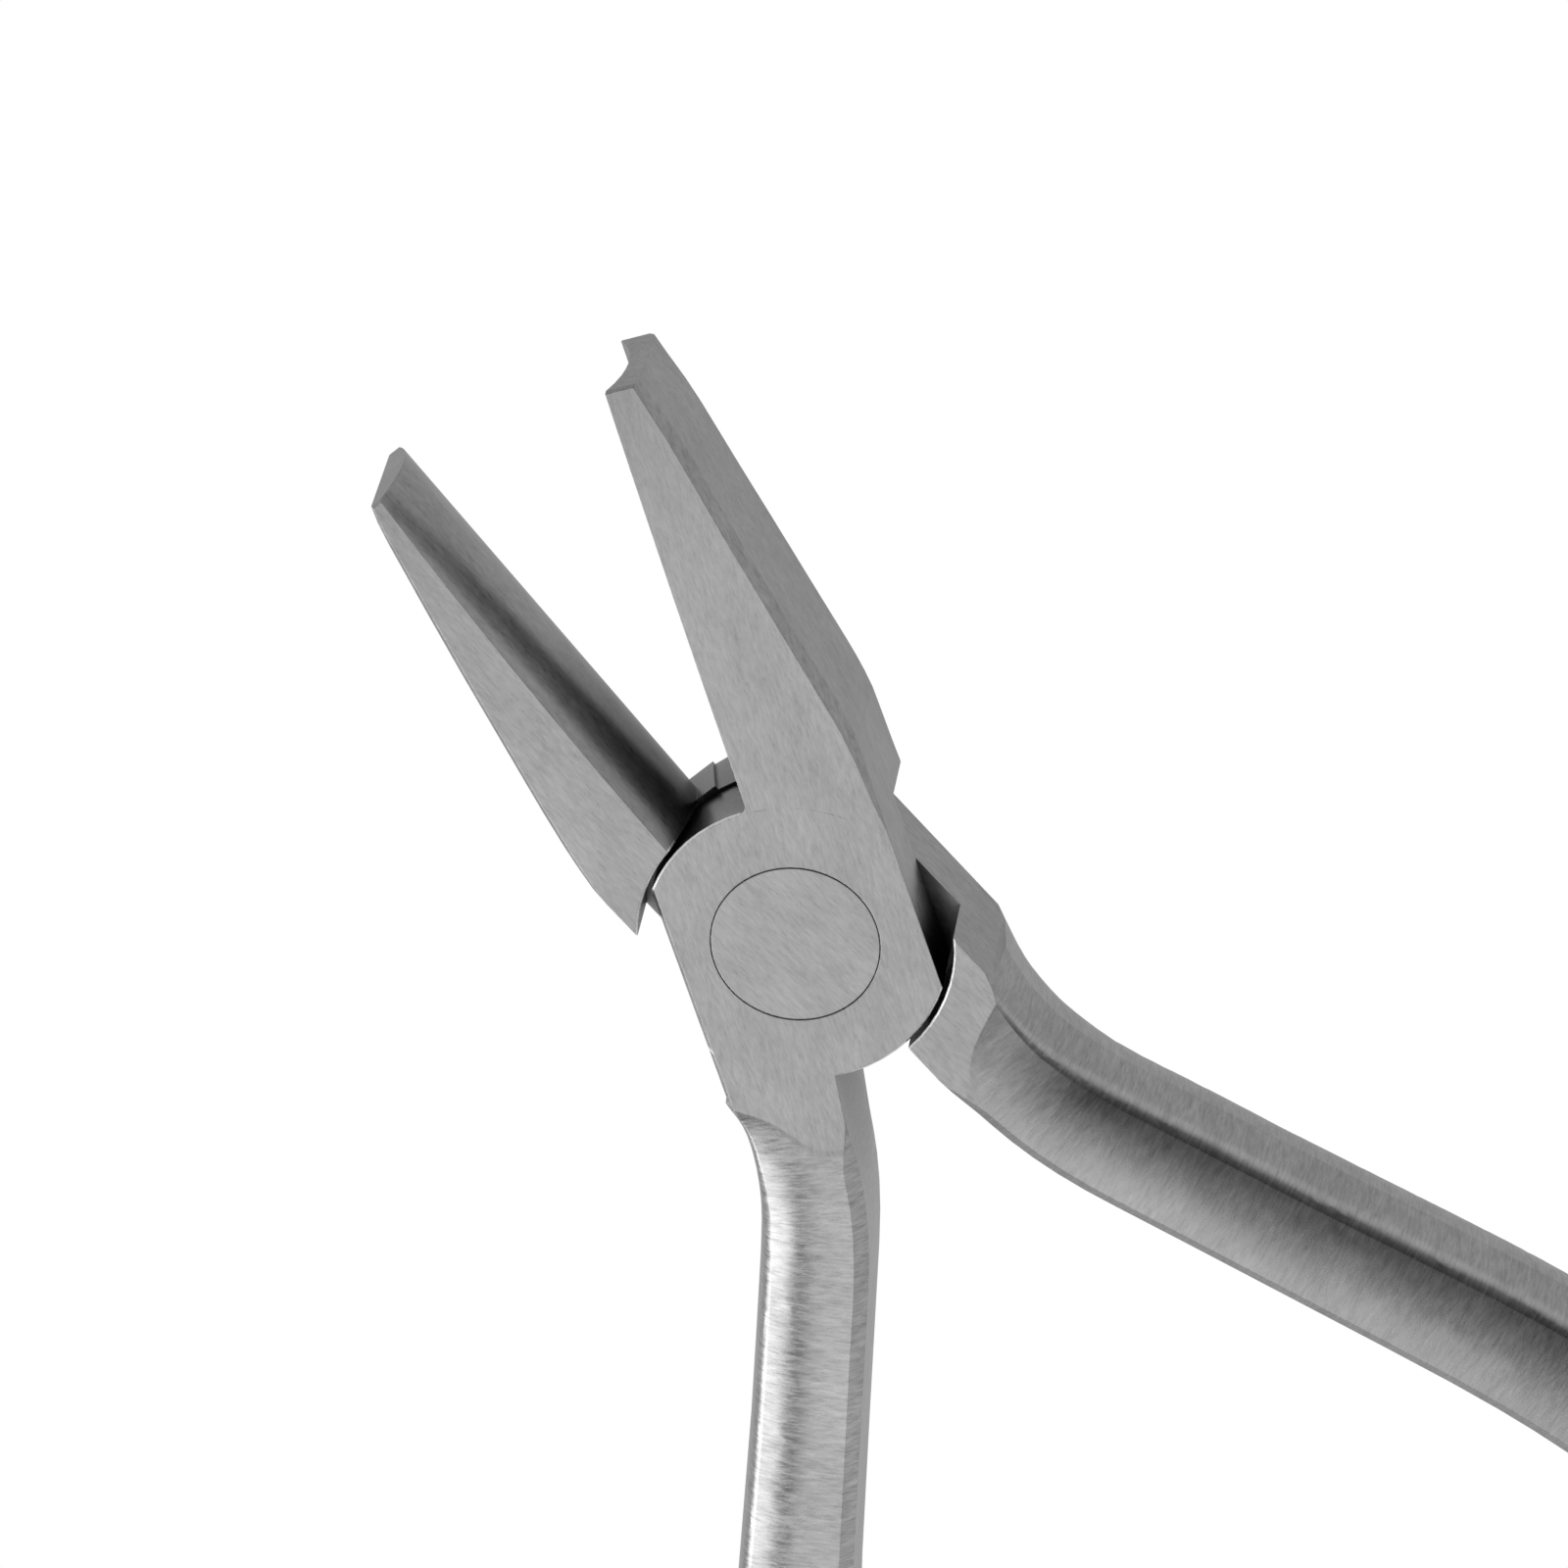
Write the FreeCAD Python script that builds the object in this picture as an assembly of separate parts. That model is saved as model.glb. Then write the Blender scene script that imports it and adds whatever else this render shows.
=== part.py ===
"""Lap-joint jewellery pliers: two forged steel levers turning on one flush rivet.

Millimetres and degrees. The pivot axis is Z, through the origin. Z = 0 is the back face of
the joint and +Z points out of its front face. Y points along the jaws.
Each lever is first drawn as if the pliers were closed, jaw towards +X and handle towards -X,
with its half-disc in the front half of the thickness. It is then turned to its place.
"""
import FreeCAD, Part
import math
import os
from FreeCAD import Vector

# ---- joint block ----
THICKNESS = 7.66          # over the two ground faces
LAP_GAP = 0.03            # oil film between the two lap faces
FRONT_DISC_R = 7.95       # front lever's half-disc
BACK_DISC_R = 8.12        # back lever's half-disc
FRONT_SHOULDER_R = 8.45   # hollow shoulders of the front lever, round the back half-disc
BACK_SHOULDER_R = 8.22    # hollow shoulders of the back lever, round the front half-disc
WIDE_SIDE_X = 6.62        # ground side: front lever's jaw side, back lever's handle side
FRONT_HANDLE_SIDE_X = 6.33
BACK_JAW_SIDE_X = 6.13
SIDE_BEVEL = 0.20         # along the front lever's ground handle side
SIDE_END_Y = -7.95        # the ground sides run out into the handles below here
SIDE_RUNOUT = 0.9
EDGE_BREAK = 0.10         # small bevel on the edges of the discs and shoulders
CROTCH_FILLET_R = 0.40    # between the front half-disc and its jaw

# ---- pivot rivet ----
HEAD_R = 4.40
HEAD_DEPTH = 2.2
HEAD_SEAT_R = 4.43
SHANK_R = 2.60
BORE_CLEARANCE = 0.03     # radial, running fit in the back lever
TAIL_R = 3.60             # countersunk tail at the back face
TAIL_DEPTH = 1.0
RIM_BREAK = 0.03          # fine bevel round the rivet head and its seat

# ---- jaws ----
JAW_TIP_Y = 32.05
JAW_ROOT_Y = 2.0          # the jaw is buried in the joint block down to here
TAPER_START_Y = 11.0      # from here the jaw thins towards the tip
TAPER_DEPTH = 0.58        # taken off each face at the tip
TIP_BREAK = 0.12          # bevel across the front and back edges of the tip
HOLLOW_R = 6.4            # groove along the front lever's jaw
CROWN_R = 5.55            # rounded face along the back lever's jaw
HOLLOW_LIP_TIP_X = 0.16   # edge of the hollow jaw, at the tip and at the root
HOLLOW_LIP_ROOT_X = -0.10
CROWN_EDGE_TIP_X = -0.11  # edge of the crowned jaw, at the tip and near the root
CROWN_EDGE_SLOPE = 0.0696
CROWN_END_Y = 8.27        # the crown stops on a small step above its half-disc
CROWN_END_BACK_X = -0.48  # end of that step, on the ground face and on the lap face
CROWN_END_LAP_X = -1.23
# stations down the back of each jaw: (y, back x, bevel)
HOLLOW_STATIONS = [(32.05, 2.04, 0.40), (29.5, 2.76, 0.48), (26.0, 3.51, 0.50), (22.0, 4.30, 0.50),
                   (18.0, 5.13, 0.50), (14.5, 5.84, 0.50), (11.5, 6.44, 0.50), (9.0, 6.66, 0.40),
                   (6.0, 6.68, 0.20), (2.0, 6.68, 0.10)]
CROWN_STATIONS = [(32.05, 0.50, 0.10), (29.4, 1.37, 0.18), (26.0, 2.25, 0.22), (22.4, 3.15, 0.22),
                  (18.9, 3.98, 0.22), (15.3, 4.86, 0.22), (11.6, 5.69, 0.20), (9.0, 6.12, 0.14),
                  (6.0, 6.22, 0.06), (2.0, 6.22, 0.06)]

# ---- handles ----
# The inner wall's path: a straight out of the joint, a bend out, the long middle straight
# and a wide bend back. Headings are 0 along -Y, positive outward. Each handle has its own:
# start x, start heading, straight, bend radius, middle heading, middle straight
FRONT_PATH = (0.22, 6.8, 10.85, 29.6, 20.5, 19.7)
BACK_PATH = (-0.61, -0.5, 9.4, 24.6, 20.1, 20.0)
PATH_START_Y = -3.0
BEND_BACK_R = 77.0
BEND_BACK_DEG = 26.5
HANDLE_LEN = 104.0        # along the path, to the very end
END_ROUND = 3.6           # length of the rounded end
END_SHARES = (0.0, 0.45, 0.75, 0.92, 0.99)
HANDLE_BEVEL = 0.70       # along the inner edges
BEVEL_RISE = (7.7, 10.7)  # the bevel opens out between these distances
# how each handle's faces fall towards the outer side: drop, width of the rounded corner outside
# it, and (share of the width, share of the drop) of the curve's two poles
FRONT_DOME = (0.62, 0.95, ((0.42, 0.0), (0.61, 0.0)))
BACK_DOME = (0.70, 1.25, ((0.22, 0.0), (0.60, 0.25)))
DOME_RISE = (6.0, 15.0)   # the faces start flatter: the fall grows between these distances
DOME_START = 0.35         # share of the drop before that
SIDE_DRAFT = 0.11         # slope of the outer side, each way from its mid-line
# stations down the handles: (distance along the path, front width, back width, half
# thickness). The first are thicker than the joint, so that grinding it leaves a slanting edge.
HANDLE_STATIONS = [(0.0, 7.40, 6.78, 6.30), (1.5, 7.30, 6.77, 5.90), (3.0, 7.08, 6.67, 5.30),
                   (4.5, 6.95, 6.45, 4.60), (6.0, 6.42, 6.12, 4.10), (7.5, 5.93, 5.87, 3.90),
                   (9.0, 5.75, 5.82, 3.84), (10.5, 5.76, 5.88, 3.77), (12.0, 5.83, 6.01, 3.70),
                   (14.5, 5.95, 6.20, 3.64), (17.5, 6.03, 6.35, 3.62), (21.0, 6.05, 6.42, 3.62),
                   (25.0, 6.08, 6.45, 3.62), (30.0, 6.17, 6.53, 3.62), (36.0, 6.36, 6.67, 3.61),
                   (43.0, 6.59, 6.82, 3.60), (51.0, 6.79, 6.95, 3.58), (60.0, 6.93, 7.04, 3.56),
                   (70.0, 7.02, 7.08, 3.52), (80.0, 7.06, 7.09, 3.48), (90.0, 7.04, 7.05, 3.44)]

# ---- pose as shown ----
OPEN_EACH_SIDE = 11.95    # each lever from closed

MID = THICKNESS / 2.0


def line(a, b):
    return Part.LineSegment(a, b).toShape()


def box(x0, y0, z0, x1, y1, z1):
    return Part.makeBox(x1 - x0, y1 - y0, z1 - z0, Vector(x0, y0, z0))


def cylinder(radius, z0, z1):
    return Part.makeCylinder(radius, z1 - z0, Vector(0, 0, z0))


def half_thickness(y):
    """Half the jaw's thickness: full up to TAPER_START_Y, then falling on a parabola."""
    along = max(0.0, (y - TAPER_START_Y) / (JAW_TIP_Y - TAPER_START_Y))
    return MID - TAPER_DEPTH * along ** 2


def jaw_section(y, inner_x, back_x, bevel):
    """Section across the jaw at y, with its two outer corners bevelled."""
    half = half_thickness(y)
    plan = [(inner_x, -half), (back_x - bevel, -half), (back_x, -half + bevel),
            (back_x, half - bevel), (back_x - bevel, half), (inner_x, half)]
    return Part.makePolygon([Vector(x, y, MID + z) for x, z in plan + plan[:1]])


def jaw_blank(stations, inner_x):
    """Jaw before its inner side is ground: a loft through (y, back x, bevel) stations."""
    sections = [jaw_section(y, inner_x(y), back_x, bevel) for y, back_x, bevel in stations]
    return Part.makeLoft(sections, True, False)


def long_cylinder(radius, tip_x, root_x, root_y, beyond_tip=3.0):
    """A cylinder along the jaw whose axis passes (root_x, root_y) and (tip_x, JAW_TIP_Y)."""
    root = Vector(root_x, root_y, MID)
    along = Vector(tip_x - root_x, JAW_TIP_Y - root_y, 0)
    length = along.Length + beyond_tip
    return Part.makeCylinder(radius, length, root, along)


def tip_cutter(side):
    """Wedge that takes the sharp edge off the tip; side 1 is the front face, -1 the back."""
    face_z = MID + side * half_thickness(JAW_TIP_Y)
    outline = [(JAW_TIP_Y - TIP_BREAK - 1, face_z + side), (JAW_TIP_Y + 1, face_z - side * (TIP_BREAK + 1)),
               (JAW_TIP_Y + 1, face_z + side), (JAW_TIP_Y - TIP_BREAK - 1, face_z + side)]
    face = Part.Face(Part.makePolygon([Vector(-10, y, z) for y, z in outline]))
    return face.extrude(Vector(30, 0, 0))


def hollow_lip_x(y):
    share = (y - JAW_ROOT_Y) / (JAW_TIP_Y - JAW_ROOT_Y)
    return HOLLOW_LIP_ROOT_X + share * (HOLLOW_LIP_TIP_X - HOLLOW_LIP_ROOT_X)


def hollow_jaw():
    """Front lever's jaw: a groove of constant radius runs along its inner side."""
    blank = jaw_blank(HOLLOW_STATIONS, hollow_lip_x)
    axis_back = math.sqrt(HOLLOW_R ** 2 - half_thickness(JAW_TIP_Y) ** 2)
    groove = long_cylinder(HOLLOW_R, HOLLOW_LIP_TIP_X - axis_back, HOLLOW_LIP_ROOT_X - axis_back, JAW_ROOT_Y)
    return blank.cut([groove, tip_cutter(1), tip_cutter(-1)])


def crown_edge_x(y):
    return CROWN_EDGE_TIP_X + CROWN_EDGE_SLOPE * (JAW_TIP_Y - y)


def crown_axis_x(y):
    return crown_edge_x(y) + math.sqrt(CROWN_R ** 2 - half_thickness(y) ** 2)


def crown_jaw():
    """Back lever's jaw: its inner side is rounded across, standing proud at mid-thickness."""
    blank = jaw_blank(CROWN_STATIONS, lambda y: crown_axis_x(y) - CROWN_R - 1.0)
    low_y = JAW_ROOT_Y - 1.0
    axis_tip, axis_root = crown_axis_x(JAW_TIP_Y), crown_axis_x(JAW_ROOT_Y)
    bar = long_cylinder(CROWN_R, axis_tip, axis_root, low_y)
    far_x, far_y = 15.0, JAW_TIP_Y + 3.0
    outline = [(axis_tip, far_y), (far_x, far_y), (far_x, low_y), (axis_root, low_y), (axis_tip, far_y)]
    slab = Part.Face(Part.makePolygon([Vector(x, y, 0) for x, y in outline]))
    jaw = blank.common(bar.fuse(slab.extrude(Vector(0, 0, THICKNESS))))
    return jaw.cut([tip_cutter(1), tip_cutter(-1)])


def crown_step():
    """The step on which the crown ends, over the half-disc."""
    low = MID + LAP_GAP / 2
    plan = [(2.5, low), (CROWN_END_LAP_X, low), (CROWN_END_BACK_X, THICKNESS), (2.5, THICKNESS), (2.5, low)]
    face = Part.Face(Part.makePolygon([Vector(x, 6.5, z) for x, z in plan]))
    return face.extrude(Vector(0, CROWN_END_Y - 6.5, 0))


def path_place(path, distance):
    """Point and heading on the inner wall's path."""
    x, heading, straight, bend_r, middle_heading, middle = path
    y = PATH_START_Y
    bend = middle_heading - heading
    runs = [(straight, 0.0), (bend_r * math.radians(bend), bend), (middle, 0.0),
            (BEND_BACK_R * math.radians(BEND_BACK_DEG), -BEND_BACK_DEG), (HANDLE_LEN, 0.0)]
    for length, turn in runs:
        share = min(distance, length) / length
        half_turn = math.radians(turn * share / 2)
        chord = length * share if half_turn == 0 else length * share * math.sin(half_turn) / half_turn
        mean = math.radians(heading) + half_turn
        x, y, heading = x - chord * math.sin(mean), y - chord * math.cos(mean), heading + turn * share
        distance -= length * share
        if distance <= 0:
            break
    return x, y, heading


def handle_section(place, width, half, bevel, inset, dome):
    """One closed section: flat inner wall, bevelled inner edges, domed faces, drafted outer side."""
    x, y, heading = place
    rad = math.radians(heading)
    outward = Vector(-math.cos(rad), math.sin(rad), 0)
    size = half / (THICKNESS / 2)
    drop, corner, poles = dome
    drop, corner = drop * min(1.0, size), corner * min(1.0, size)

    def at(across, up):
        return Vector(x, y, MID) + outward * (across + inset) + Vector(0, 0, up)

    def curve(*poles):
        bezier = Part.BezierCurve()
        bezier.setPoles(list(poles))
        return bezier.toShape()

    def outer_side(side):
        shoulder = at(width - corner, side * (half - drop))
        falling = [at(share * width, side * (half - fall * drop)) for share, fall in poles]
        face = curve(at(bevel, side * half), *falling, shoulder)
        wall = curve(shoulder, at(width - 0.28 * corner, side * (half - 1.5 * drop)),
                     at(width - 0.45 * half * SIDE_DRAFT, side * 0.45 * half), at(width, 0))
        return [face, wall]

    top, low = outer_side(1), outer_side(-1)
    chamfers = [line(at(0, half - bevel), at(bevel, half)), line(at(bevel, -half), at(0, bevel - half))]
    wall = line(at(0, bevel - half), at(0, half - bevel))
    return Part.Wire(Part.__sortEdges__([wall, chamfers[0], *top, *reversed(low), chamfers[1]]))


def handle_blank(path, widths, dome):
    """The forged handle with its rounded end, as a loft down the inner wall's path."""
    start, full = BEVEL_RISE
    low, high = DOME_RISE
    drop, corner, poles = dome
    sections = []
    for (distance, _, _, half), width in zip(HANDLE_STATIONS, widths):
        bevel = HANDLE_BEVEL * min(1.0, max(0.08, (distance - start) / (full - start)))
        place = path_place(path, distance)
        share = DOME_START + (1 - DOME_START) * min(1.0, max(0.0, (distance - low) / (high - low)))
        risen = (drop * share, corner * (1 + share) / 2, poles)
        sections.append(handle_section(place, width, half, bevel, 0.0, risen))
    for share in END_SHARES:
        scale = math.sqrt(1 - share ** 2)
        place = path_place(path, HANDLE_LEN - END_ROUND * (1 - share))
        inset = width * (1 - scale) / 2
        sections.append(handle_section(place, width * scale, half * scale, HANDLE_BEVEL * scale, inset,
                                       dome))
    return Part.makeLoft(sections, True, False)


def half_disc(radius, jaw_side, handle_side):
    """The round half-thickness boss that carries the pivot, cut to the two ground sides."""
    rim_z = THICKNESS - EDGE_BREAK
    disc = cylinder(radius, MID + LAP_GAP / 2, rim_z)
    rim = Part.makeCone(radius, radius - EDGE_BREAK, EDGE_BREAK, Vector(0, 0, rim_z))
    return disc.fuse(rim).common(box(-handle_side, -10, 0, jaw_side, 10, THICKNESS))


def shoulder_cutter(radius):
    """Room for the other lever's half-disc, with a small bevel where it meets the back face."""
    size = 2 * EDGE_BREAK
    bevel = Part.makeCone(radius + size, radius, size, Vector(0, 0, -EDGE_BREAK))
    return cylinder(radius, -1, MID + LAP_GAP / 2).fuse(bevel)


def side_cutter(handle_side):
    """Grinds the handle side of the joint flat, and runs out where the handle leaves it."""
    far, end = -30, SIDE_END_Y
    outline = [(-handle_side, 20), (far, 20), (far, end - SIDE_RUNOUT),
               (-handle_side - SIDE_RUNOUT, end - SIDE_RUNOUT), (-handle_side, end), (-handle_side, 20)]
    face = Part.Face(Part.makePolygon([Vector(x, y, -1) for x, y in outline]))
    return face.extrude(Vector(0, 0, THICKNESS + 2))


def side_bevel_cutter():
    """Bevels the front edge of the front lever's handle side, all the way along."""
    side, low = -FRONT_HANDLE_SIDE_X, THICKNESS - SIDE_BEVEL
    outline = [(side - 1, low - 1), (side + SIDE_BEVEL + 1, THICKNESS + 1), (side - 1, THICKNESS + 1),
               (side - 1, low - 1)]
    face = Part.Face(Part.makePolygon([Vector(x, SIDE_END_Y - 1, z) for x, z in outline]))
    return face.extrude(Vector(0, 20 - SIDE_END_Y, 0))


def lever(jaw, handle, disc_r, shoulder_r, jaw_side, handle_side):
    """One lever in its closed place, half-disc in front."""
    arms = jaw.fuse(handle).cut(shoulder_cutter(shoulder_r))
    body = arms.fuse(half_disc(disc_r, jaw_side, handle_side))
    body = body.common(box(-60, -150, 0, jaw_side, 60, THICKNESS))
    return body.cut(side_cutter(handle_side))


def crotch_fillet():
    """Small fillet between the front half-disc and the inner edge of its jaw."""
    edge_x = HOLLOW_LIP_ROOT_X + 0.05
    centre_x = edge_x - CROTCH_FILLET_R
    reach = FRONT_DISC_R + CROTCH_FILLET_R
    centre_y = math.sqrt(reach ** 2 - centre_x ** 2)
    low_z, touch = MID + LAP_GAP / 2, FRONT_DISC_R / reach
    block = box(centre_x * touch, centre_y * touch - 0.2, low_z, edge_x + 0.2, centre_y, THICKNESS)
    height = THICKNESS - low_z
    return block.cut(Part.makeCylinder(CROTCH_FILLET_R, height, Vector(centre_x, centre_y, low_z)))


def head_seat():
    """Counterbore and hole in the front lever; the rivet is fixed in it."""
    floor = THICKNESS - HEAD_DEPTH
    rim = Part.makeCone(HEAD_SEAT_R, HEAD_SEAT_R + 2 * RIM_BREAK, 2 * RIM_BREAK,
                        Vector(0, 0, THICKNESS - RIM_BREAK))
    return cylinder(HEAD_SEAT_R, floor, THICKNESS + 1).fuse(cylinder(SHANK_R, 0, floor)).fuse(rim)


def running_hole():
    """Hole and countersink in the back lever, free of the rivet all round."""
    wide, narrow = TAIL_R + BORE_CLEARANCE, SHANK_R + BORE_CLEARANCE
    sink = Part.makeCone(wide, narrow, TAIL_DEPTH, Vector(0, 0, 0))
    return sink.fuse(cylinder(narrow, TAIL_DEPTH, THICKNESS))


def pivot_rivet():
    """Flush head, plain shank and a tail closed into the back lever's countersink."""
    floor = THICKNESS - HEAD_DEPTH
    head = cylinder(HEAD_R, floor, THICKNESS - RIM_BREAK)
    rim = Part.makeCone(HEAD_R, HEAD_R - RIM_BREAK, RIM_BREAK, Vector(0, 0, THICKNESS - RIM_BREAK))
    tail = Part.makeCone(TAIL_R, SHANK_R, TAIL_DEPTH, Vector(0, 0, 0))
    return head.fuse(rim).fuse(cylinder(SHANK_R, TAIL_DEPTH, floor)).fuse(tail).removeSplitter()


def front_lever():
    handle = handle_blank(FRONT_PATH, [station[1] for station in HANDLE_STATIONS], FRONT_DOME)
    body = lever(hollow_jaw(), handle, FRONT_DISC_R, FRONT_SHOULDER_R, WIDE_SIDE_X, FRONT_HANDLE_SIDE_X)
    body = body.fuse(crotch_fillet()).cut([head_seat(), side_bevel_cutter()])
    body.rotate(Vector(0, 0, 0), Vector(0, 0, 1), -OPEN_EACH_SIDE)
    return body


def back_lever():
    """Turned over about the closed centreline, so that its half-disc lies behind."""
    handle = handle_blank(BACK_PATH, [station[2] for station in HANDLE_STATIONS], BACK_DOME)
    body = lever(crown_jaw(), handle, BACK_DISC_R, BACK_SHOULDER_R, BACK_JAW_SIDE_X, WIDE_SIDE_X)
    body = body.fuse(crown_step())
    body.rotate(Vector(0, 0, MID), Vector(0, 1, 0), 180)
    body = body.cut(running_hole())
    body.rotate(Vector(0, 0, 0), Vector(0, 0, 1), OPEN_EACH_SIDE)
    return body


def main():
    os.makedirs("parts", exist_ok=True)
    pieces = {"front_lever": front_lever(), "back_lever": back_lever(), "pivot_rivet": pivot_rivet()}
    for name, shape in pieces.items():
        shape.exportStep("parts/" + name + ".step")
        print(name, "valid", shape.isValid(), "solids", len(shape.Solids), "volume", round(shape.Volume, 2))


main()
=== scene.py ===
"""Jewellery pliers in brushed steel: looks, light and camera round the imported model."""
import math

import bpy
from mathutils import Matrix, Vector


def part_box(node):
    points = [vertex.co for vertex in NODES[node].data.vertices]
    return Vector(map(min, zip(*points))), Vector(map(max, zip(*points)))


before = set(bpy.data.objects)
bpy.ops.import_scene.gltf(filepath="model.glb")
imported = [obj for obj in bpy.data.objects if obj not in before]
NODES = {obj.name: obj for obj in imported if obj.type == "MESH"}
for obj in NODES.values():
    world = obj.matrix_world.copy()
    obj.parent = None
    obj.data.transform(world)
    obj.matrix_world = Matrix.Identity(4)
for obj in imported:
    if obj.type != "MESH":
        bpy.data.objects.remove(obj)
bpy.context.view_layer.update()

MM = 0.001
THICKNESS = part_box("pivot_rivet")[1].z
MID = THICKNESS / 2
OPEN_DEG = 11.95            # each lever from closed, at rest

# ---- camera ----
TILT_DEG = 27.4             # of the view away from straight down the pivot
ROLL_DEG = 14.0
BISECTOR_DEG = 132.45       # of the jaws' direction, seen from the front
DISTANCE = 0.5
PIVOT_RIGHT = 0.58 * MM     # of the pivot's front point from the optical axis
PIVOT_UP = -8.28 * MM
LENS = 222.24

# ---- studio ----
FLOOR_SIZE = 5.0
FLOOR_DROP = 0.5            # below the pliers' back face
FLOOR_LEVEL = 0.52          # of white, as the steel sees it
HAZE_LOW, HAZE_HIGH = 0.10, 0.85
HAZE_LEVEL, CEILING_LEVEL = 0.68, 0.05
# name: direction from the pliers, width, height, radiance, a metre away
SOFTBOXES = {"key": ((-0.315, -0.345, 0.883), 0.37, 0.43, 1.17),
             "tips": ((-0.30, -0.10, 0.95), 0.20, 0.20, 0.80),
             "top": ((-0.03, -0.15, 0.985), 0.30, 0.34, 0.28),
             "front": ((0.00, -0.58, 0.81), 0.40, 0.40, 0.50),
             "left": ((-0.90, -0.03, 0.41), 1.1, 0.83, 2.10)}

# ---- the handles, in the closed lever's frame, mm and degrees ----
# inner wall: start x, heading, straight, bend radius, middle heading, middle straight
PATHS = {"front_lever": (0.22, 6.8, 10.85, 29.6, 20.5, 19.7),
         "back_lever": (-0.61, -0.5, 9.4, 24.6, 20.1, 20.0)}
PATH_START_Y = -3.0
BEND_BACK = (77.0, 26.5)    # radius and turn of the far half
LAST_RUN = 80.0             # longer than what is left of either handle
FORGED_Z = 3.825            # from the middle; above this the joint is ground flat
FORGED_FADE = (0.004, 0.03)         # below that height
FORGED_START = (4.2, 5.4)           # down the handle

# ---- steel ----
GRAIN_SWING = 0.34          # of the grey, each way
PATCH_SWING = 0.05
ROUGH_SWING = 0.05
GRAIN_RANGE = (0.25, 0.75)
PATCH_RANGE = (0.3, 0.7)
FINE_SHARE = 0.72           # of the grain, the rest is broad
# the edge grey is for the worn edge-breaks beside the half-discs, painted near white as a highlight
GROUND_GREY, EDGE_WEAR_AND_HIGHLIGHT_GREY = 0.40, 0.98
FORGED_GREY = {"front_lever": 0.45, "back_lever": 0.415}
FORGED_GAIN = {"front_lever": 1.5, "back_lever": 1.0}       # how strongly the cross brushing shows
GROUND_ROUGH, FORGED_ROUGH = 0.30, 0.27
GRAIN_DEPTH = 0.0035        # mm
SOFT_EDGE, SOFT_SAMPLES = 0.06, 4           # mm, how far an edge looks rounded
# painted shade: the steel's grey is darkened where ambient occlusion finds other steel near, in
# recesses and between the parts
PAINTED_SHADE_REACH, PAINTED_SHADE_SAMPLES = 9.0, 6       # mm
PAINTED_SHADE_RANGE = (0.25, 0.92)         # of open air
PAINTED_SHADE_SHARE = 0.22         # of the grey, left deep in a recess
# noise frequencies per mm along three axes: fine lines, then broad ones
GROUND_GRAIN = ((7.5, 1.5, 7.5), (2.6, 0.5, 2.6))
CROSS_GRAIN = ((7.0, 1.2, 1.2), (2.4, 0.5, 0.5))            # down, across and through the handle
RIVET_GRAIN = ((7.5, 1.5, 7.5), (3.0, 0.6, 3.0))
LEVER_PATCHES, RIVET_PATCHES = (0.35, 0.18, 0.35), (0.4, 0.25, 0.4)
RIVET_GRAIN_DEG = 13.5
# worn edges beside the half-discs, painted near white as a highlight: inner and outer radius in mm,
# and how upright the edge's normal is
EDGE_RINGS = {"front_lever": (7.83, 7.97), "back_lever": (8.20, 8.34)}
RING_FADE = 0.02
EDGE_LEAN = ((0.55, 0.60), (0.85, 0.80))


def view_axes():
    """Right, up and towards-camera unit vectors."""
    bisector, tilt, roll = (math.radians(a) for a in (BISECTOR_DEG, TILT_DEG, ROLL_DEG))
    level = Vector((math.sin(bisector), math.cos(bisector), 0))
    lean = Vector((-math.cos(bisector), math.sin(bisector), 0))
    back = Vector((0, 0, math.cos(tilt))) + lean * math.sin(tilt)
    rise = lean * math.cos(tilt) - Vector((0, 0, math.sin(tilt)))
    right = level * math.cos(roll) + rise * math.sin(roll)
    up = rise * math.cos(roll) - level * math.sin(roll)
    return right, up, back


def add_camera():
    right, up, back = view_axes()
    data = bpy.data.cameras.new("camera")
    data.lens = LENS
    data.sensor_width = 36
    data.clip_start, data.clip_end = 0.01, 50
    camera = bpy.data.objects.new("camera", data)
    pivot = Vector((0, 0, THICKNESS))
    place = pivot - right * PIVOT_RIGHT - up * PIVOT_UP + back * DISTANCE
    camera.matrix_world = Matrix.Translation(place) @ Matrix((right, up, back)).transposed().to_4x4()
    bpy.context.scene.collection.objects.link(camera)
    bpy.context.scene.camera = camera


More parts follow.
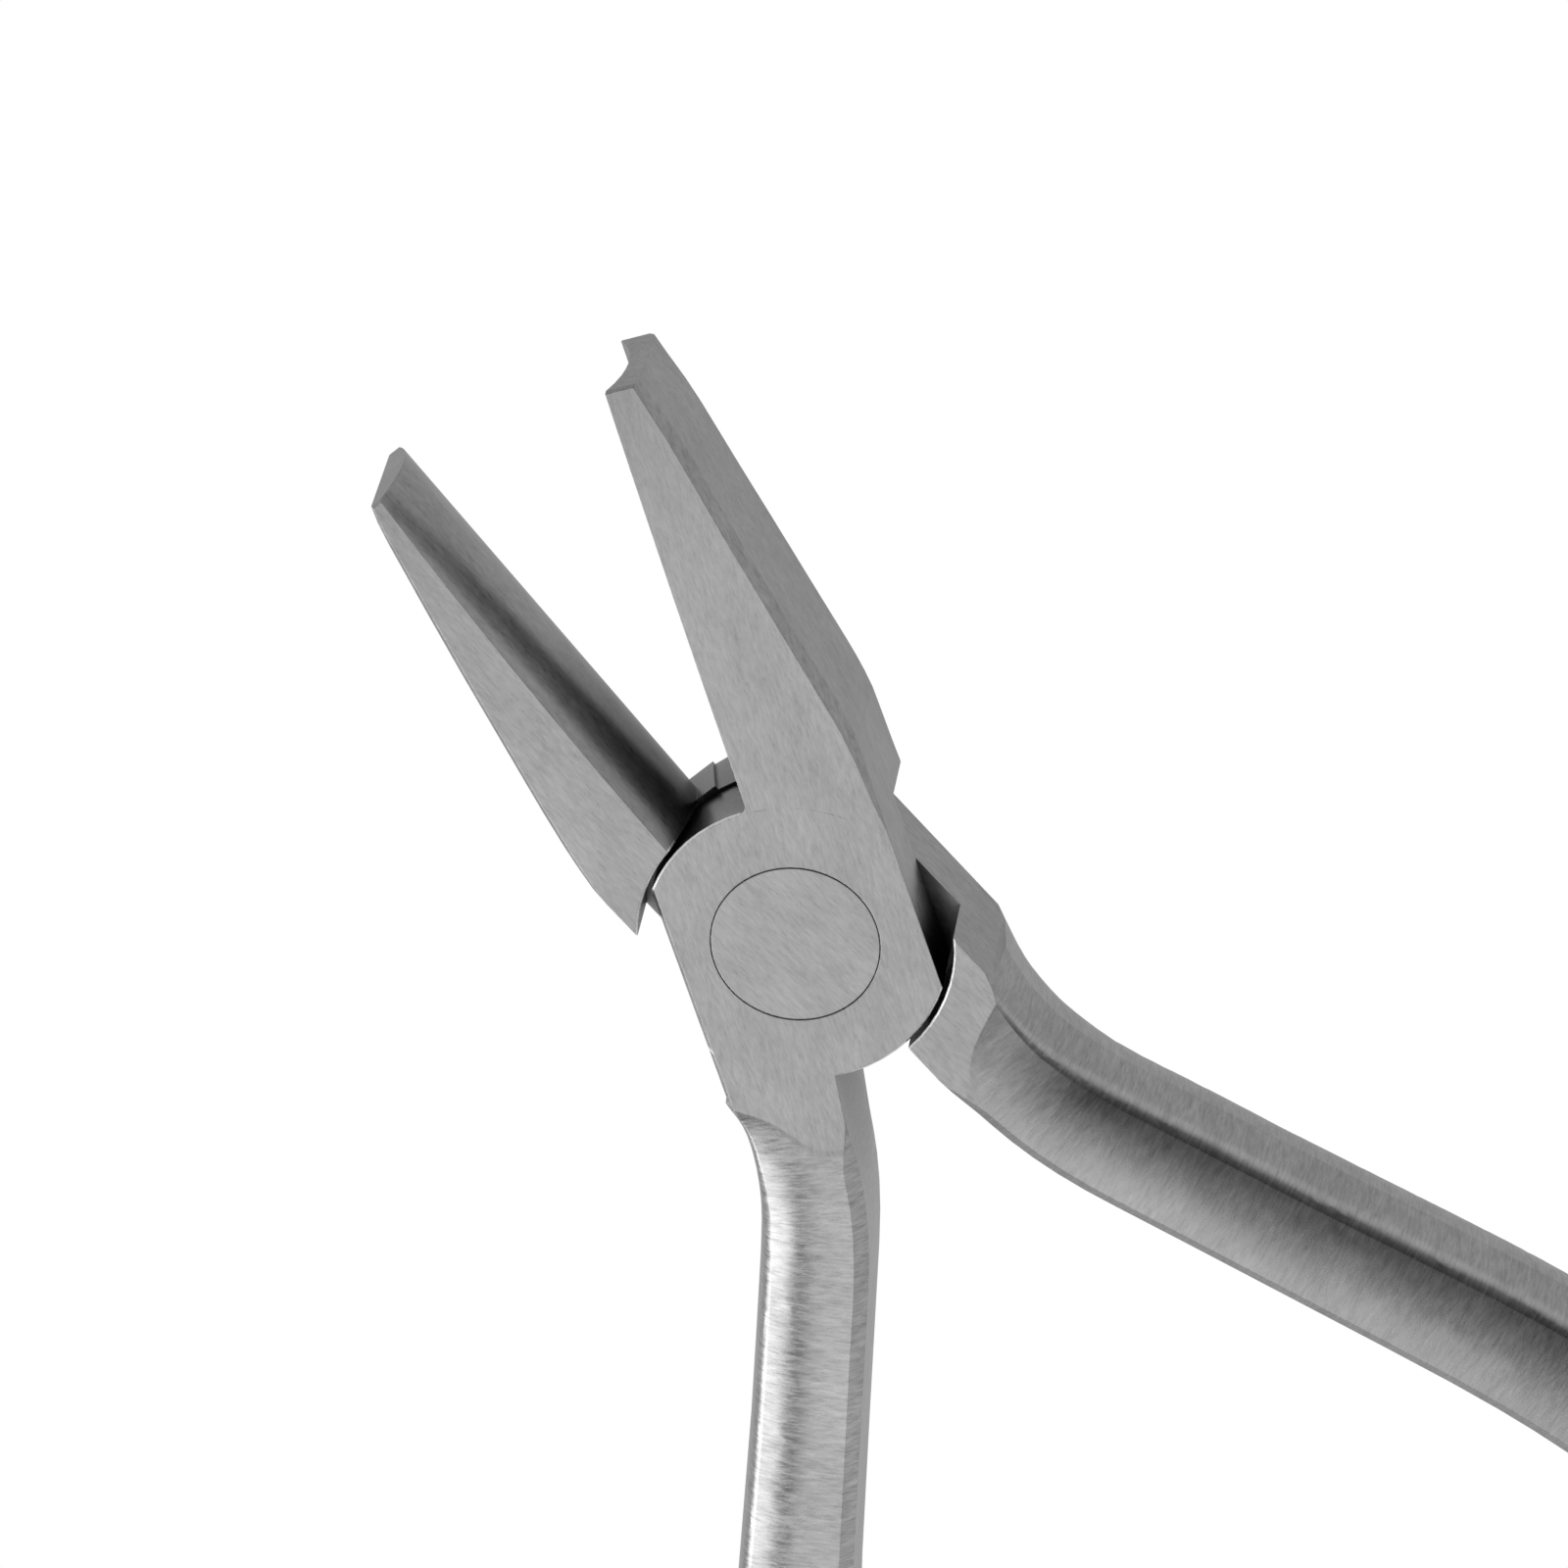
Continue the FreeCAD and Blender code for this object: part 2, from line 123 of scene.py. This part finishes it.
class Nodes:
    """Short spelling for building a node tree."""

    def __init__(self, tree):
        self.tree = tree
        tree.nodes.clear()

    def add(self, kind, inputs=None, **settings):
        node = self.tree.nodes.new(kind)
        for name, value in settings.items():
            setattr(node, name, value)
        for key, value in (inputs or {}).items():
            self.put(node.inputs[key], value)
        return node

    def put(self, socket, value):
        if isinstance(value, bpy.types.NodeSocket):
            self.tree.links.new(value, socket)
        else:
            socket.default_value = value

    def math(self, operation, a, b=0.0):
        return self.add("ShaderNodeMath", {0: a, 1: b}, operation=operation).outputs[0]

    def dot(self, x, y, direction):
        return self.math("ADD", self.math("MULTIPLY", x, direction[0]),
                         self.math("MULTIPLY", y, direction[1]))

    def within(self, value, high):
        """The value, kept between 0 and high."""
        return self.math("MINIMUM", self.math("MAXIMUM", value, 0.0), high)

    def ramp(self, value, low, high, out_low=0.0, out_high=1.0, smooth=True):
        node = self.add("ShaderNodeMapRange", {"Value": value, "From Min": low, "From Max": high,
                                               "To Min": out_low, "To Max": out_high})
        node.interpolation_type = "SMOOTHSTEP" if smooth else "LINEAR"
        return node.outputs[0]

    def mix(self, factor, a, b):
        return self.add("ShaderNodeMix", {0: factor, 2: a, 3: b}).outputs[0]

    def scaled(self, place, scale):
        """The three coordinates as one vector, each times its own scale."""
        parts = [self.math("MULTIPLY", part, factor) for part, factor in zip(place, scale)]
        return self.add("ShaderNodeCombineXYZ", dict(enumerate(parts))).outputs[0]

    def noise(self, vector, scale, detail=2.0, roughness=0.5):
        return self.add("ShaderNodeTexNoise", {"Vector": vector, "Scale": scale, "Detail": detail,
                                               "Roughness": roughness}).outputs["Fac"]


# ---- world, floor and lights ----
def by_camera(nodes, seen, other, surface):
    """Joins a shader for what the camera sees with one for every other ray."""
    path = nodes.add("ShaderNodeLightPath")
    mix = nodes.add("ShaderNodeMixShader", {0: path.outputs["Is Camera Ray"], 1: other, 2: seen})
    out = "ShaderNodeOutputWorld" if surface == "world" else "ShaderNodeOutputMaterial"
    nodes.add(out, {"Surface": mix.outputs[0]})


def add_world():
    world = bpy.data.worlds.new("studio")
    world.use_nodes = True
    bpy.context.scene.world = world
    nodes = Nodes(world.node_tree)
    direction = nodes.add("ShaderNodeTexCoord").outputs["Generated"]
    height = nodes.add("ShaderNodeSeparateXYZ", {0: direction}).outputs[2]
    level = nodes.ramp(height, HAZE_LOW, HAZE_HIGH, HAZE_LEVEL, CEILING_LEVEL)
    grey = nodes.add("ShaderNodeBackground", {"Color": (1, 1, 1, 1), "Strength": level})
    white = nodes.add("ShaderNodeBackground", {"Color": (1, 1, 1, 1), "Strength": 1.0})
    by_camera(nodes, white.outputs[0], grey.outputs[0], "world")


def add_floor():
    """A plain pale sheet, seen by the camera as white."""
    mesh = bpy.data.meshes.new("floor")
    half = FLOOR_SIZE / 2
    corners = [(-half, -half), (half, -half), (half, half), (-half, half)]
    mesh.from_pydata([(x, y, -FLOOR_DROP) for x, y in corners], [], [(0, 1, 2, 3)])
    floor = bpy.data.objects.new("floor", mesh)
    bpy.context.scene.collection.objects.link(floor)
    material = bpy.data.materials.new("pale_floor")
    material.use_nodes = True
    nodes = Nodes(material.node_tree)
    sheet = nodes.add("ShaderNodeEmission", {"Color": (1, 1, 1, 1), "Strength": FLOOR_LEVEL})
    white = nodes.add("ShaderNodeEmission", {"Color": (1, 1, 1, 1), "Strength": 1.0})
    by_camera(nodes, white.outputs[0], sheet.outputs[0], "material")
    mesh.materials.append(material)


def add_softbox(name, direction, width, height, radiance):
    data = bpy.data.lights.new(name, "AREA")
    data.shape = "RECTANGLE"
    data.size, data.size_y = width, height
    data.energy = radiance * math.pi * width * height
    light = bpy.data.objects.new(name, data)
    towards = Vector(direction).normalized()
    light.location = towards
    light.rotation_mode = "QUATERNION"
    light.rotation_quaternion = towards.to_track_quat("Z", "Y")
    light.visible_camera = False
    bpy.context.scene.collection.objects.link(light)


# ---- steel materials ----
def turned_place(nodes, degrees):
    """The object's own coordinates, in metres, turned about the pivot."""
    place = nodes.add("ShaderNodeTexCoord").outputs["Object"]
    turned = nodes.add("ShaderNodeVectorRotate", {"Vector": place, "Angle": math.radians(degrees)},
                       rotation_type="Z_AXIS").outputs[0]
    return nodes.add("ShaderNodeSeparateXYZ", {0: turned}).outputs


def lever_frame(nodes, mirrored):
    """Coordinates in mm in the closed lever's frame: jaw along +Y, handle on the -X side."""
    flip = -1.0 if mirrored else 1.0
    parts = turned_place(nodes, flip * OPEN_DEG)
    x = nodes.math("MULTIPLY", parts[0], flip / MM)
    y = nodes.math("MULTIPLY", parts[1], 1 / MM)
    z = nodes.math("MULTIPLY", nodes.math("SUBTRACT", parts[2], MID), flip / MM)
    return x, y, z


def along_handle(nodes, x, y, path):
    """Distance down the handle, in mm, following its bends."""
    px, heading, straight, radius, middle_heading, middle = path
    py = PATH_START_Y
    runs = [(straight, 0.0, 0.0), (0.0, radius, middle_heading - heading), (middle, 0.0, 0.0),
            (0.0, BEND_BACK[0], -BEND_BACK[1]), (LAST_RUN, 0.0, 0.0)]
    total = 0.0
    for length, bend_radius, bend in runs:
        rad = math.radians(heading)
        ahead, out = (-math.sin(rad), -math.cos(rad)), (-math.cos(rad), math.sin(rad))
        if length:
            dx, dy = nodes.math("SUBTRACT", x, px), nodes.math("SUBTRACT", y, py)
            run = nodes.within(nodes.dot(dx, dy, ahead), length)
            px, py = px + ahead[0] * length, py + ahead[1] * length
        else:
            side = 1.0 if bend > 0 else -1.0
            cx, cy = px + side * out[0] * bend_radius, py + side * out[1] * bend_radius
            dx, dy = nodes.math("SUBTRACT", x, cx), nodes.math("SUBTRACT", y, cy)
            inward = nodes.dot(dx, dy, (-side * out[0], -side * out[1]))
            angle = nodes.math("ARCTAN2", nodes.dot(dx, dy, ahead), inward)
            angle = nodes.within(angle, math.radians(abs(bend)))
            run = nodes.math("MULTIPLY", angle, bend_radius)
            heading += bend
            new = math.radians(heading)
            px, py = cx + side * math.cos(new) * bend_radius, cy - side * math.sin(new) * bend_radius
        total = nodes.math("ADD", total, run)
    return total


def grain_pair(nodes, place, scales):
    """Fine brush lines over broader ones, 0 to 1 round a half."""
    fine, coarse = scales
    lines = nodes.noise(nodes.scaled(place, fine), 1.0, 4.0, 0.65)
    broad = nodes.noise(nodes.scaled(place, coarse), 1.0, 2.0, 0.5)
    return nodes.math("ADD", nodes.math("MULTIPLY", lines, FINE_SHARE),
                      nodes.math("MULTIPLY", broad, 1 - FINE_SHARE))


def finish_steel(nodes, grain, patches, value, roughness):
    """Joins the grain, the slow patches, the painted shade in recesses and the mean grey into the
    shader.
    """
    swing = nodes.ramp(grain, *GRAIN_RANGE, 1 - GRAIN_SWING, 1 + GRAIN_SWING, smooth=False)
    slow = nodes.ramp(patches, *PATCH_RANGE, 1 - PATCH_SWING, 1 + PATCH_SWING)
    # painted shade: the grey darkens in recesses and between the parts, by ambient occlusion
    open_air = nodes.add("ShaderNodeAmbientOcclusion", {"Distance": PAINTED_SHADE_REACH * MM},
                         samples=PAINTED_SHADE_SAMPLES).outputs["AO"]
    painted_shade = nodes.ramp(open_air, *PAINTED_SHADE_RANGE, PAINTED_SHADE_SHARE, 1.0)
    grey = nodes.math("MULTIPLY", nodes.math("MULTIPLY", value, swing),
                      nodes.math("MULTIPLY", slow, painted_shade))
    colour = nodes.add("ShaderNodeCombineColor", {0: grey, 1: grey, 2: grey}).outputs[0]
    rough = nodes.math("ADD", roughness,
                       nodes.ramp(grain, *GRAIN_RANGE, -ROUGH_SWING, ROUGH_SWING, smooth=False))
    soft = nodes.add("ShaderNodeBevel", {"Radius": SOFT_EDGE * MM}, samples=SOFT_SAMPLES).outputs[0]
    relief = nodes.add("ShaderNodeBump", {"Height": grain, "Strength": 1.0,
                                          "Distance": GRAIN_DEPTH * MM, "Normal": soft}).outputs[0]
    shader = nodes.add("ShaderNodeBsdfPrincipled", {"Base Color": colour, "Metallic": 1.0,
                                                    "Roughness": rough, "Normal": relief})
    nodes.add("ShaderNodeOutputMaterial", {"Surface": shader.outputs[0]})


def worn_edge_and_highlight(nodes, x, y, ring):
    """1 on the narrow slanting edge beside a half-disc, worn and painted near white as a highlight, 0
    elsewhere.
    """
    low, high = ring
    reach = nodes.math("SQRT", nodes.math("ADD", nodes.math("MULTIPLY", x, x),
                                          nodes.math("MULTIPLY", y, y)))
    band = nodes.math("MULTIPLY", nodes.ramp(reach, low - RING_FADE, low + RING_FADE),
                      nodes.ramp(reach, high + RING_FADE, high - RING_FADE))
    facing = nodes.add("ShaderNodeNewGeometry").outputs["True Normal"]
    lean = nodes.math("ABSOLUTE", nodes.add("ShaderNodeSeparateXYZ", {0: facing}).outputs[2])
    rising, falling = EDGE_LEAN
    leaning = nodes.math("MULTIPLY", nodes.ramp(lean, *rising), nodes.ramp(lean, *falling))
    return nodes.math("MULTIPLY", band, leaning)


def lever_steel(name, mirrored, ring):
    material = bpy.data.materials.new(name + "_brushed")
    material.use_nodes = True
    nodes = Nodes(material.node_tree)
    x, y, z = lever_frame(nodes, mirrored)
    down = along_handle(nodes, x, y, PATHS[name])
    # the forged handle starts where the ground faces end
    height = nodes.math("ABSOLUTE", z)
    off_face = nodes.ramp(height, *(FORGED_Z - fade for fade in FORGED_FADE))
    forged = nodes.math("MULTIPLY", off_face, nodes.ramp(down, *FORGED_START))
    ground = grain_pair(nodes, (x, y, z), GROUND_GRAIN)
    across = grain_pair(nodes, (down, x, z), CROSS_GRAIN)
    gain = FORGED_GAIN[name]
    across = nodes.math("ADD", nodes.math("MULTIPLY", across, gain), 0.5 - 0.5 * gain)
    grain = nodes.mix(forged, ground, across)
    patches = nodes.noise(nodes.scaled((x, y, z), LEVER_PATCHES), 1.0, 3.0)
    # worn edge-breaks beside the half-discs, painted near white as a highlight
    value = nodes.mix(worn_edge_and_highlight(nodes, x, y, ring),
                      nodes.mix(forged, GROUND_GREY, FORGED_GREY[name]), EDGE_WEAR_AND_HIGHLIGHT_GREY)
    roughness = nodes.mix(forged, GROUND_ROUGH, FORGED_ROUGH)
    finish_steel(nodes, grain, patches, value, roughness)
    return material


def rivet_steel(name):
    material = bpy.data.materials.new(name + "_brushed")
    material.use_nodes = True
    nodes = Nodes(material.node_tree)
    turned = turned_place(nodes, -RIVET_GRAIN_DEG)
    place = [nodes.math("MULTIPLY", part, 1 / MM) for part in turned]
    grain = grain_pair(nodes, place, RIVET_GRAIN)
    patches = nodes.noise(nodes.scaled(place, RIVET_PATCHES), 1.0, 3.0)
    finish_steel(nodes, grain, patches, GROUND_GREY, GROUND_ROUGH)
    return material


def dress():
    materials = {node: lever_steel(node, node == "back_lever", ring)
                 for node, ring in EDGE_RINGS.items()}
    materials["pivot_rivet"] = rivet_steel("pivot_rivet")
    for node, material in materials.items():
        mesh = NODES[node].data
        mesh.materials.clear()
        mesh.materials.append(material)


bpy.context.scene.view_settings.view_transform = "Standard"
add_camera()
add_world()
add_floor()
for box_name, box_values in SOFTBOXES.items():
    add_softbox(box_name, *box_values)
dress()
